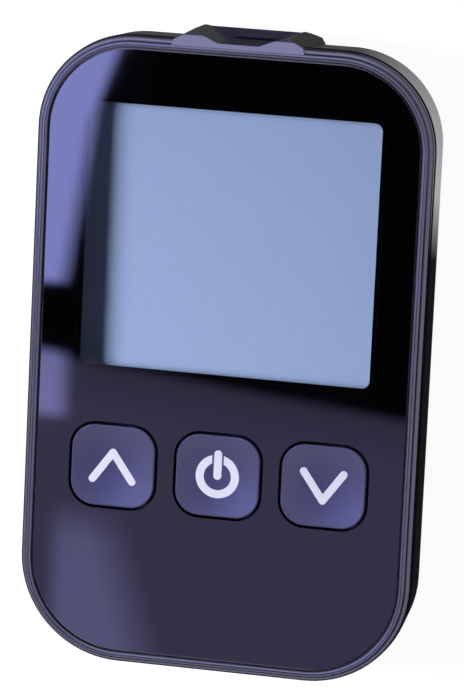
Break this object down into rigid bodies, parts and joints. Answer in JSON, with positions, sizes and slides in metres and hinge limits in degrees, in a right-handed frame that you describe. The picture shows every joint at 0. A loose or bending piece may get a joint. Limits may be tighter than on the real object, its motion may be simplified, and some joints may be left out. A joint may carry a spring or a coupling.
{
  "type": "blood glucose meter",
  "caption": "Handheld blood glucose meter with a glossy full-face window over a large display, sprung keys, a notched strip port and a sliding battery door.",
  "frame": {"origin": "on the surface that the meter lies on, below the middle of its bounding box", "axes": "+Z out of the display, +Y towards the strip port, +X to the right of someone who reads the display"},
  "size_m": [0.0592, 0.095, 0.016],
  "materials": {
    "shell_plastic": "fine moulded grain, charcoal with a violet cast",
    "key_plastic": "fine matt grain",
    "clear_panel": "polished clear acrylic",
    "mask_ink": "black print behind the panel",
    "foam": "black foam",
    "display_film": "blue-grey polarizing film",
    "display_glass": "clear glass",
    "reflector_film": "pale blue reflecting film",
    "frame_plastic": "white moulded plastic",
    "zebra_rubber": "striped conductive rubber",
    "silicone": "grey silicone rubber",
    "dome_steel": "thin spring steel",
    "board_laminate": "green solder mask over glass fibre laminate",
    "chip_epoxy": "black epoxy",
    "crystal_can": "drawn steel can",
    "ceramic": "fired ceramic",
    "buzzer_plastic": "black moulded plastic",
    "connector_plastic": "cream moulded plastic",
    "gold_plate": "gold-plated spring metal",
    "cell_steel": "nickel-plated steel can",
    "screw_steel": "zinc-plated steel"
  },
  "bodies": {
    "case": {"front_housing": "shell_plastic", "window_panel": "clear_panel", "window_mask": "mask_ink", "lcd_gasket": "foam", "lcd_polarizer": "display_film", "lcd_front_glass": "display_glass", "lcd_rear_glass": "display_glass", "lcd_reflector": "reflector_film", "lcd_frame": "frame_plastic", "zebra_strips": "zebra_rubber", "keypad_sheet": "silicone", "dome_contacts": "dome_steel", "main_board": "board_laminate", "microcontroller": "chip_epoxy", "memory_chip": "chip_epoxy", "crystal": "crystal_can", "board_components": "ceramic", "buzzer": "buzzer_plastic", "strip_connector": "connector_plastic", "strip_contacts": "gold_plate", "rear_housing": "shell_plastic", "coin_cell_upper": "cell_steel", "coin_cell_lower": "cell_steel", "cell_top_contacts": "gold_plate", "cell_side_contacts": "gold_plate", "housing_screws": "screw_steel"},
    "key_up": {"button_up": "key_plastic"},
    "key_power": {"button_power": "key_plastic"},
    "key_down": {"button_down": "key_plastic"},
    "door": {"battery_door": "shell_plastic"}
  },
  "joints": [
    {"name": "key_up_press", "type": "slide", "parent": "case", "child": "key_up", "axis": [0, 0, -1], "range_m": [0, 0.0005], "stiffness_N_per_m": 1500, "springref_m": -0.0004},
    {"name": "key_power_press", "type": "slide", "parent": "case", "child": "key_power", "axis": [0, 0, -1], "range_m": [0, 0.0005], "stiffness_N_per_m": 1500, "springref_m": -0.0004},
    {"name": "key_down_press", "type": "slide", "parent": "case", "child": "key_down", "axis": [0, 0, -1], "range_m": [0, 0.0005], "stiffness_N_per_m": 1500, "springref_m": -0.0004},
    {"name": "battery_door_slide", "type": "slide", "parent": "case", "child": "door", "axis": [0, -1, 0], "range_m": [0, 0.008]}
  ]
}
